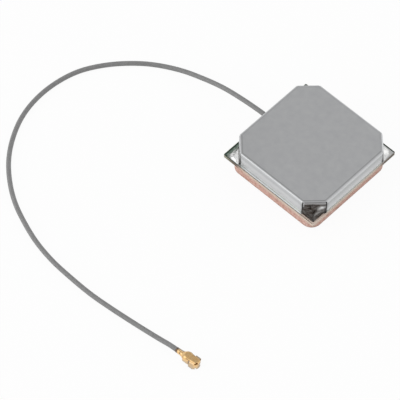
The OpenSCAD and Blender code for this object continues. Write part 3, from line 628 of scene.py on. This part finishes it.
def can_side(index):
    """One eighth of the sheet: from the middle of the top out to its fold, round a quarter circle and down.
    Across, it is as wide as the octagon is at that distance out, less half an open seam, with its places
    closer towards both ends. There it curls in, and its foot follows the cable's arch where there is one."""
    angle = np.radians(45 * index)
    normal = np.array([np.cos(angle), np.sin(angle)])
    along = np.array([-np.sin(angle), np.cos(angle)])
    is_tab = index % 2 == 1
    near, far = (TAB_REACH, CAN_SIDE / 2) if is_tab else (CAN_SIDE / 2, TAB_REACH)
    half = np.sqrt(2) * (far - BEND_R) - (near - BEND_R)
    t = np.linspace(-1, 1, TAB_STEPS if is_tab else WALL_STEPS)
    share = 1.5 * t - 0.5 * t ** 3
    foot = np.zeros_like(share)
    if index == DOOR_WALL:
        share, foot = door_places(share, half)
    top = np.concatenate([np.linspace(0, PLAIN_TOP, TOP_ROWS), CREASE])
    bend = np.linspace(0, np.pi / 2, BEND_ROWS)[1:]
    wall = np.linspace(0, 1, DROP_ROWS)[1:]
    out = np.concatenate([(near - BEND_R) * top, near - BEND_R + BEND_R * np.sin(bend), near + 0 * wall])
    down = np.concatenate([CROWN * top ** 2, CROWN + (BEND_R - CROWN) * (1 - np.cos(bend)),
                           BEND_R + 0 * wall])
    mitre = (np.sqrt(2) - 1) * BEND_R
    reach = np.concatenate([half * top, half + mitre * np.sin(bend), half + mitre + 0 * wall])
    low_end, high_end = SEAM_SHIFT.get(index, (0, 0))
    opening = SEAM / 2 / np.cos(np.pi / 8) + np.where(share < 0, low_end, high_end)
    width = reach[:, None] - opening[None, :] * rise(down, CROWN, SEAM_TOP)[:, None]
    straight = np.concatenate([0 * top, 0 * bend, wall])
    u = share[None, :] * width
    drop = down[:, None] + straight[:, None] * (CAN_H - BEND_R - foot[None, :])
    end = rise(np.abs(u), width - CURL_W, CURL_W)
    away = out[:, None] - CURL * rise(drop, CURL_TOP, CURL_RUN) * end ** 2
    plan = CAN_CENTRE + away[..., None] * normal + u[..., None] * along
    points = np.dstack([plan, CAN_TOP - drop])
    return points, grid_faces(*u.shape)[:, ::-1], *side_marks(index, u, width, drop, len(top))


def can_piece():
    """The whole sheet, its eighths merged along the top's rays and thickened inwards."""
    points, faces, marks = joined([can_side(index) for index in range(8)])
    made = piece("can_sheet", points, faces, "tinplate", ["shield_can"], sharp_angle=40,
                 marks=dict(zip(("painted_shade", "foot", "flux_and_shade"), marks)))
    thicken(made, CAN_SHEET, even=True)


can_piece()

# Corner solder. Its corners are counted by quarter turns from +X +Y
LEFT_CORNER, NEAR_CORNER = 2, 3
TRACK_X = (-12.65, 13.45)
TRACK_Y = (-13.4, 13.2)
# Height on the tab, reach on the ear, shape of the slope (above 1 it is hollow), and squareness of the crest
SOLDER = [(1.0, 2.0, 1.9, 0.5), (1.2, 1.8, 1.9, 0.5), (1.8, 2.1, 1.7, 0.5), (3.1, 3.0, 1.1, 0.2)]
PAD_RIM = [0.15, 0.15, 0.15, 0.35]   # bare track between the solder's toe and the track's edges
SINK = 0.15                     # how far the solder goes on behind the tab's face
ACROSS_STEPS, OUT_STEPS = 33, 15


def corner_fillet(index):
    """Solder from a corner tab down to its ear. Across the tab it is a rounded hump that ends in points,
    with a faintly wavy crest. From the tab outwards its height falls as a power of the distance left, with
    low lumps, and its toe stops at the ear's edges. A brown glaze of burnt flux and painted dark reflection
    covers the near one but for its bare patches, painted shade lies along the tab on the others, and flux
    lies in spots on the left one."""
    height, reach, hollow, square = SOLDER[index]
    angle = np.radians(45 + 90 * index)
    sx, sy = np.sign([np.cos(angle), np.sin(angle)])
    normal, along = np.array([sx, sy]) / np.sqrt(2), np.array([-sy, sx]) / np.sqrt(2)
    edge_x = (TRACK_X[1] if sx > 0 else TRACK_X[0]) - CAN_CENTRE[0]
    edge_y = (TRACK_Y[1] if sy > 0 else TRACK_Y[0]) - CAN_CENTRE[1]
    limit_x = (abs(edge_x) - PAD_RIM[index]) * np.sqrt(2) - TAB_REACH
    limit_y = (abs(edge_y) - PAD_RIM[index]) * np.sqrt(2) - TAB_REACH
    q_high = min(TAB_HALF, limit_y if sx * sy > 0 else limit_x)
    q_low = -min(TAB_HALF, limit_x if sx * sy > 0 else limit_y)
    q = np.linspace(q_low, q_high, ACROSS_STEPS)
    room = np.minimum(limit_x + sx * sy * q, limit_y - sx * sy * q)
    toe = np.clip(np.minimum(reach, room), 0, None)
    hump = np.clip(1 - ((2 * q - q_low - q_high) / (q_high - q_low)) ** 2, 0, 1) ** square
    wave = 1 + 0.06 * np.sin(5.1 * q + index) + 0.04 * np.sin(11.3 * q + 2 * index)
    crest = height * hump * wave
    s = np.linspace(0, 1, OUT_STEPS)[:, None]
    lumps = 1 + 0.08 * np.sin(7 * s + 3.1 * q + index) * np.sin(np.pi * s)
    behind = np.full_like(q, -SINK)
    rows_out = np.vstack([behind, toe * s, behind])
    rows_up = np.vstack([crest, crest * (1 - s) ** hollow * lumps, 0 * q])
    away = TAB_REACH + rows_out
    plan = CAN_CENTRE + away[..., None] * normal + np.broadcast_to(q, away.shape)[..., None] * along
    points = np.dstack([plan, Z_TRACK + rows_up])
    if index == NEAR_CORNER:
        # burnt flux and a painted dark reflection, bare at the patches
        flux_and_shade = 1 - bare_patch(q, rows_up)
    else:
        # painted shade along the tab, where it meets the ear
        flux_and_shade = 0.9 * np.clip(1.2 - (away - TAB_REACH) / 0.25, 0, 1)
    # flux in spots on the left corner
    if index == LEFT_CORNER:
        spots = 1.5 * np.sin(5.5 * q + 2.5 * away) * np.sin(7 * away + 2 * q)
        flux_and_shade += 0.7 * np.clip(spots, 0, 1) * rise(q, 1.2, -0.8)
    ring = np.arange(away.size).reshape(away.shape)
    closing = np.stack([ring[-1, :-1], ring[-1, 1:], ring[0, 1:], ring[0, :-1]], -1)
    ends = [ring[:, 0].tolist(), ring[::-1, -1].tolist()]
    faces = np.vstack([grid_faces(*away.shape), closing]).tolist() + ends
    piece(f"corner_fillet_{index + 1}", points.reshape(-1, 3), faces, "solder",
          [f"corner_solder_{index + 1}"], sharp_angle=60, marks={"flux_and_shade": flux_and_shade.ravel()})


for corner in range(len(SOLDER)):
    corner_fillet(corner)

# Plug, worked out with its ring round the upright axis and its cable entry towards -X
PLUG_PLACE, PLUG_TURN = np.array([17.35, -55.17, 0]), np.radians(5)
PLUG_SHEET = 0.1
RING_STEPS = 96
RING_R, RING_H, RING_CORNER, RING_WALL_H = 1.13, 1.12, 0.08, 1.0
RING_SHOULDER = [0.72, 0.85, 0.98, 1.05]   # radii of the flat shoulder's points
RING_LOW, WALL_ROWS = 0.07, 14
RING_SLOT, RING_SLOT_H, RING_SLOT_R = 0.3, 0.45, 1.15   # width, height, and the radius where the width holds
RING_FRONT = -0.1               # cosine beyond which the ring counts as its front
RING_DRAWN = 0.62               # how far the wall is drawn up there, for each millimetre above the slots
GROOVE_Z, GROOVE_W, GROOVE = 0.6, 0.1, 0.03
LIP_H, LIP = 0.3, 0.15          # the lip flares over this height, by this much
RING_GREYING = ([0, LIP_H, GROOVE_Z, RING_WALL_H], [1, 0.6, 0.4, 0])
# Sections of the stamped top, from the crimp on the jacket to the lid. Each row: place along the plug, half
# width, height of the crest, height of the middle, roundness (1 is an ellipse, less is boxier), how far it
# wraps to each side in radians, and the depth of the seam along the crest
PLUG_SECTIONS = np.array([
    [-4.98, 0.60, 1.75, 1.15, 1.0, 2.8, 0.04], [-4.60, 0.60, 1.75, 1.15, 1.0, 2.8, 0.04],
    [-4.48, 0.62, 1.77, 1.15, 1.0, 2.6, 0.08], [-3.85, 0.64, 1.78, 1.15, 1.0, 2.6, 0.12],
    [-3.65, 0.66, 1.78, 1.15, 1.0, 2.6, 0.12], [-3.20, 0.74, 1.80, 1.15, 1.0, 2.2, 0.12],
    [-2.85, 0.94, 1.93, 1.15, 0.9, 1.8, 0.06], [-2.50, 1.12, 2.07, 1.20, 0.75, 1.57, 0.02],
    [-1.95, 1.20, 2.12, 1.28, 0.65, 1.57, 0], [-1.55, 1.12, 2.06, 1.40, 0.6, 1.57, 0],
    [-1.15, 0.98, 1.98, 1.52, 0.55, 1.57, 0], [-0.55, 0.88, 1.95, 1.62, 0.5, 1.57, 0],
    [0.15, 0.80, 1.95, 1.66, 0.45, 1.57, 0], [0.45, 0.76, 1.95, 1.68, 0.45, 1.57, 0],
    [0.66, 0.72, 1.95, 1.70, 0.45, 1.57, 0]])
SECTION_STEPS, ARCH_STEPS = 5, 41
SEAM_SPREAD = 0.22              # radians over which the seam along the crest fades
LID_SHIFT = 0.10                # the lid sits this far off the ring's middle
LID_BACK, LID_RUN = -2.4, 1.2   # where along the plug that shift starts, and over what length it grows
CUT_END = -4.59                 # painted shade darkens the sheet behind this place
PINCH, PINCH_PHI = -2.6, -0.9   # place and angle of a pinch where the hood starts, darkened by painted shade
CRIMP_GAPS = ((-4.60, -4.48), (-3.85, -3.65))
CRIMP_SPINE = 0.5               # radians to each side that stay where the crimps part
WING_FOLD, WING_FOLD_W = -0.92, 0.15   # fold between hood's and lid's wings, darkened by painted shade: place and width
# Wings: first and last place along the plug, side, then half width and height of the bulge and of the lower
# edge, and how pale and grey they are at the top and at the lower edge, on the +Y wing by painted shade
PLUG_WINGS = [((-2.6, -0.9), -1, (1.20, 0.9), (1.10, 0.35), (0.3, 0.8)),
              ((-2.6, -1.3), 1, (1.20, 0.9), (1.10, 0.35), (0.3, 0.8)),
              ((-0.88, 0.50), -1, (1.28, 1.38), (1.42, 0.35), (0.3, 0.8)),
              ((-0.60, 0.67), 1, (1.75, 1.75), (1.30, 0.50), (0.9, 0.9))]
WING_STEPS, WING_NARROWS = 10, 0.12
STRAP = (-0.22, 0.62)           # the strap's two edges across the plug
STRAP_STEPS, STRAP_R = 7, 0.30


def plug_ring():
    """Mating ring turned about the upright axis: a shoulder in front, a rounded corner, a wall with a
    shallow groove, and a lip that flares with the square of the height left. Four slots rise from the lip,
    and in front the wall is drawn up towards the strap. It is paler and greyer the lower it is, and painted
    shade darkens its +Y side."""
    corner = np.radians([30, 60, 90])
    first = len(RING_SHOULDER)
    z = np.concatenate([np.full(first, RING_H), RING_H - RING_CORNER * (1 - np.cos(corner)),
                        np.linspace(RING_WALL_H, RING_LOW, WALL_ROWS)])
    groove = GROOVE * np.exp(-((z - GROOVE_Z) / GROOVE_W) ** 2)
    r = RING_R - groove + LIP * np.clip(1 - z / LIP_H, 0, 1) ** 2
    r[:first] = RING_SHOULDER
    r[first:first + 3] = RING_SHOULDER[-1] + RING_CORNER * np.sin(corner)
    turn = 2 * np.pi * np.arange(RING_STEPS) / RING_STEPS
    drawn = RING_DRAWN * np.clip(z - RING_SLOT_H, 0, None)[:, None] * rise(np.cos(turn), RING_FRONT, 0.5)
    points = np.dstack([r[:, None] * np.cos(turn), r[:, None] * np.sin(turn), z[:, None] + drawn])
    middle = turn + np.pi / RING_STEPS
    in_slot = np.abs(middle % (np.pi / 2) - np.pi / 4) < RING_SLOT / 2 / RING_SLOT_R
    kept = np.where(z[1:, None] >= RING_WALL_H, np.cos(middle) > RING_FRONT,
                    ~(in_slot & (z[:-1, None] <= RING_SLOT_H)))
    faces = grid_faces(len(z), RING_STEPS, True).reshape(len(z) - 1, RING_STEPS, 4)[kept][:, ::-1]
    # paler and greyer the lower it is
    wear_and_shade = np.broadcast_to(np.interp(z, *RING_GREYING)[:, None], drawn.shape)
    # painted shade on the ring's +Y side
    stain_and_shade = 0.4 * rise(np.sin(turn + 0.3), -0.2, 0.5) * rise(z[:, None], 0, LIP_H)
    return points, faces, wear_and_shade, stain_and_shade


def crease(x):
    """Painted shade in the fold where the hood's wings meet the lid's: a bell along the plug."""
    return np.exp(-((x - WING_FOLD) / WING_FOLD_W) ** 2)


def plug_top():
    """The sections joined into one sheet: each is an arch of a superellipse, lower along the seam of the
    crimps. Painted shade greys the crimps and hood on their +Y side, and darkens the folds, the pinch, the
    cut end and faintly the hood's +Y side."""
    sections = smooth_line(PLUG_SECTIONS, SECTION_STEPS)
    place, half, crest, middle, roundness, wrap, seam = sections.T[:, :, None]
    phi = wrap * np.linspace(-1, 1, ARCH_STEPS)
    sine, cosine = np.sin(phi), np.cos(phi)
    y = half * np.sign(sine) * np.abs(sine) ** roundness
    arch = np.sign(cosine) * np.abs(cosine) ** roundness
    z = middle + (crest - middle) * arch - seam * np.exp(-(phi / SEAM_SPREAD) ** 2)
    y = y + LID_SHIFT * rise(place, LID_BACK, LID_RUN)
    points = np.dstack([np.broadcast_to(place, y.shape), y, z])
    parted = np.any([(place[:-1] > first - 0.01) & (place[1:] < last + 0.01) for first, last in CRIMP_GAPS],
                    axis=0)
    kept = ~(parted & (np.abs(phi[:-1, :-1] + phi[:-1, 1:]) / 2 > CRIMP_SPINE))
    faces = grid_faces(*y.shape).reshape(len(y) - 1, -1, 4)[kept][:, ::-1]
    # painted shade greys the +Y side of the crimps and hood
    far = rise(phi, 0.4, 0.5) * rise(place, -0.3, -0.4)
    wear_and_shade = np.maximum(rise(place, -2.9, -0.4) * rise(phi, 0, 0.4), 0.6 * far)
    # painted shade in the pinch, the folds, at the cut end and faintly on the +Y side
    pinch = 0.55 * np.exp(-((place - PINCH) / 0.16) ** 2 - ((phi - PINCH_PHI) / 0.35) ** 2)
    folds = crease(place) * rise(np.abs(phi), 0.8, 0.4)
    stain_and_shade = 0.9 * (place < CUT_END) + folds + pinch + 0.25 * far
    return points, faces, wear_and_shade, stain_and_shade


def plug_wing(top, reach, side, bulge, edge, wear_and_shade_level):
    """A wing that hangs from one edge of the top: down through its bulge to its lower edge on a quadratic
    curve, a little narrower there."""
    rail = top[:, 0 if side < 0 else -1]
    rail = rail[(rail[:, 0] >= reach[0]) & (rail[:, 0] <= reach[1])]
    s = np.linspace(0, 1, WING_STEPS)[:, None]
    y = rail[:, 1] * (1 - s) ** 2 + side * (bulge[0] * 2 * s * (1 - s) + edge[0] * s ** 2)
    z = rail[:, 2] * (1 - s) ** 2 + bulge[1] * 2 * s * (1 - s) + edge[1] * s ** 2
    x = rail[:, 0].mean() + (rail[:, 0] - rail[:, 0].mean()) * (1 - WING_NARROWS * s ** 4)
    faces = grid_faces(*y.shape)
    # paler and greyer towards the lower edge, on the +Y wing by painted shade
    wear_and_shade = np.broadcast_to(wear_and_shade_level[0] + (wear_and_shade_level[1] - wear_and_shade_level[0]) * s, y.shape)
    # painted shade in the fold
    stain_and_shade = crease(x) * rise(z, 0.7, 0.4)
    return np.dstack([x, y, z]), faces[:, ::-1] if side < 0 else faces, wear_and_shade, stain_and_shade


def plug_strap():
    """The strap in front: off the lid, round a quarter circle and down to the ring's shoulder, paler, greyer
    and darker with painted shade at its lower end."""
    bend = np.radians(np.linspace(0, 90, 8))
    x = np.concatenate([[0.60, 0.70], 0.80 + STRAP_R * np.sin(bend), [1.10, 1.10]])
    z = np.concatenate([[1.93, 1.95], 1.67 + STRAP_R * np.cos(bend), [1.35, 1.05]])
    x, y, z = np.broadcast_arrays(x[:, None], np.linspace(*STRAP, STRAP_STEPS), z[:, None])
    # paler and greyer, with painted shade, at the strap's lower end
    wear_and_shade = 0.5 * (z < 1.5)
    return np.dstack([x, y, z]), grid_faces(*x.shape)[:, ::-1], wear_and_shade, 0.8 * wear_and_shade


def plug_piece():
    """Ring, top, wings and strap of the one stamped sheet, put in place and thickened inwards."""
    top = plug_top()
    wings = [plug_wing(top[0], *wing) for wing in PLUG_WINGS]
    local, faces, marks = joined([plug_ring(), top, plug_strap()] + wings)
    cos, sin = np.cos(PLUG_TURN), np.sin(PLUG_TURN)
    points = PLUG_PLACE + local @ np.array([[cos, sin, 0], [-sin, cos, 0], [0, 0, 1]])
    made = piece("plug_sheet", points, faces, "gilded_sheet", ["plug_shell"], sharp_angle=45,
                 marks=dict(zip(("wear_and_shade", "stain_and_shade"), marks)))
    thicken(made, PLUG_SHEET)
    return made


plug = plug_piece()

# Stage, in metres
FLOOR_R = 2.6
SWEEP_R = 0.5
RIM_ANGLE = 70
SWEEP_STEPS = 96
PAPER_WHITE = 0.94      # share of plain white to the camera and in mirrors; the rest is shaded paper


def sweep_profile():
    """A flat disc whose rim turns up as part of a circle, so that the horizon shows no edge."""
    flat = np.array([0.0, 0.2, 1.0, FLOOR_R])
    turn = np.radians(np.linspace(0, RIM_ANGLE, 12))[1:]
    return (np.concatenate([flat, FLOOR_R + SWEEP_R * np.sin(turn)]),
            np.concatenate([0 * flat, SWEEP_R * (1 - np.cos(turn))]))


def studio_sweep():
    """The profile carried round the upright axis: white paper, nearly plain white to the camera and in
    reflections."""
    r, z = sweep_profile()
    turn = 2 * np.pi * np.arange(SWEEP_STEPS) / SWEEP_STEPS
    x, y = r[:, None] * np.cos(turn), r[:, None] * np.sin(turn)
    points = np.dstack([x, y, np.broadcast_to(z[:, None], x.shape)]).reshape(-1, 3)
    mesh = bpy.data.meshes.new("studio_sweep")
    mesh.from_pydata(points, [], grid_faces(*x.shape, True).tolist())
    mesh.shade_smooth()
    made = bpy.data.materials.new("white_paper")
    tree = blank(made)
    ray = add(tree, "LightPath")
    mirrored = add(tree, "Math", operation="MAXIMUM",
                   links={0: (ray, "Is Camera Ray"), 1: (ray, "Is Glossy Ray")})
    seen = add(tree, "Math", operation="MAXIMUM",
               links={0: (mirrored, "Value"), 1: (ray, "Is Transmission Ray")})
    share = add(tree, "Math", operation="MULTIPLY", values={1: PAPER_WHITE}, links={0: (seen, "Value")})
    paper = add(tree, "BsdfDiffuse", values={"Color": to_linear("F4F4F4")})
    white = add(tree, "Emission", values={"Color": (1, 1, 1, 1), "Strength": 1.0})
    both = add(tree, "MixShader", links={0: (share, "Value"), 1: (paper, "BSDF"), 2: (white, "Emission")})
    add(tree, "OutputMaterial", links={"Surface": (both, "Shader")})
    mesh.materials.append(made)
    sweep = bpy.data.objects.new("studio_sweep", mesh)
    scene.collection.objects.link(sweep)


studio_sweep()


# Light
def soft_light(name, place, size, power, mirrored=True):
    """A square soft box that faces the module, in metres and watts. One that isn't mirrored lights only what
    is matte."""
    lamp = bpy.data.lights.new(name, "AREA")
    lamp.size = size
    lamp.energy = power
    made = bpy.data.objects.new(name, lamp)
    made.visible_glossy = mirrored
    way = np.array(place) / np.linalg.norm(place)
    side = np.cross([0, 0, 1], way)
    side /= np.linalg.norm(side)
    put(made, side, np.cross(way, side), way, place)


soft_light("left_soft_box", (-0.44, -0.60, 0.80), 1.1, 2.4)
soft_light("low_soft_box", (-0.60, -0.85, 0.16), 0.50, 3.0, mirrored=False)
soft_light("right_soft_box", (0.95, 0.45, 0.42), 0.50, 0.9, mirrored=False)

# Studio walls all round, a dimmer ceiling that the can's top mirrors, the dark space round the camera and a
# bright window behind the module that the right ear's solder mirrors. Each has its direction, its share of
# the walls' light, and the cosines at which that share starts and is full
SKY = 0.82
CEILING = ((-0.377, 0.411, 0.830), 0.635, 0.70, 0.92)
CAMERA_SIDE = ((0.58, -0.58, 0.57), 0.48, 0.62, 0.95)
WINDOW = ((0.14, 0.93, 0.34), 1.4, 0.85, 0.96)
scene.world = bpy.data.worlds.new("studio")
tree = blank(scene.world)
way = add(tree, "TexCoord")


def dimmer(toward, share, outer, inner):
    """Share of the walls' light that comes from round a direction: 1 beyond the outer cosine, and the given
    share within the inner one."""
    near = add(tree, "VectorMath", operation="DOT_PRODUCT", values={1: toward},
               links={0: (way, "Generated")})
    return add(tree, "MapRange", interpolation_type="SMOOTHSTEP",
               values={"From Min": outer, "From Max": inner, "To Min": 1.0, "To Max": share},
               links={"Value": (near, "Value")})


ceiling = dimmer(*CEILING)
camera_side = dimmer(*CAMERA_SIDE)
window = dimmer(*WINDOW)
dimmed = add(tree, "Math", operation="MULTIPLY", links={0: (ceiling, "Result"), 1: (camera_side, "Result")})
level_of_sky = add(tree, "Math", operation="MULTIPLY", links={0: (dimmed, "Value"), 1: (window, "Result")})
sky = add(tree, "Background", values={"Strength": SKY}, links={"Color": (level_of_sky, "Value")})
add(tree, "OutputWorld", links={"Surface": (sky, "Background")})
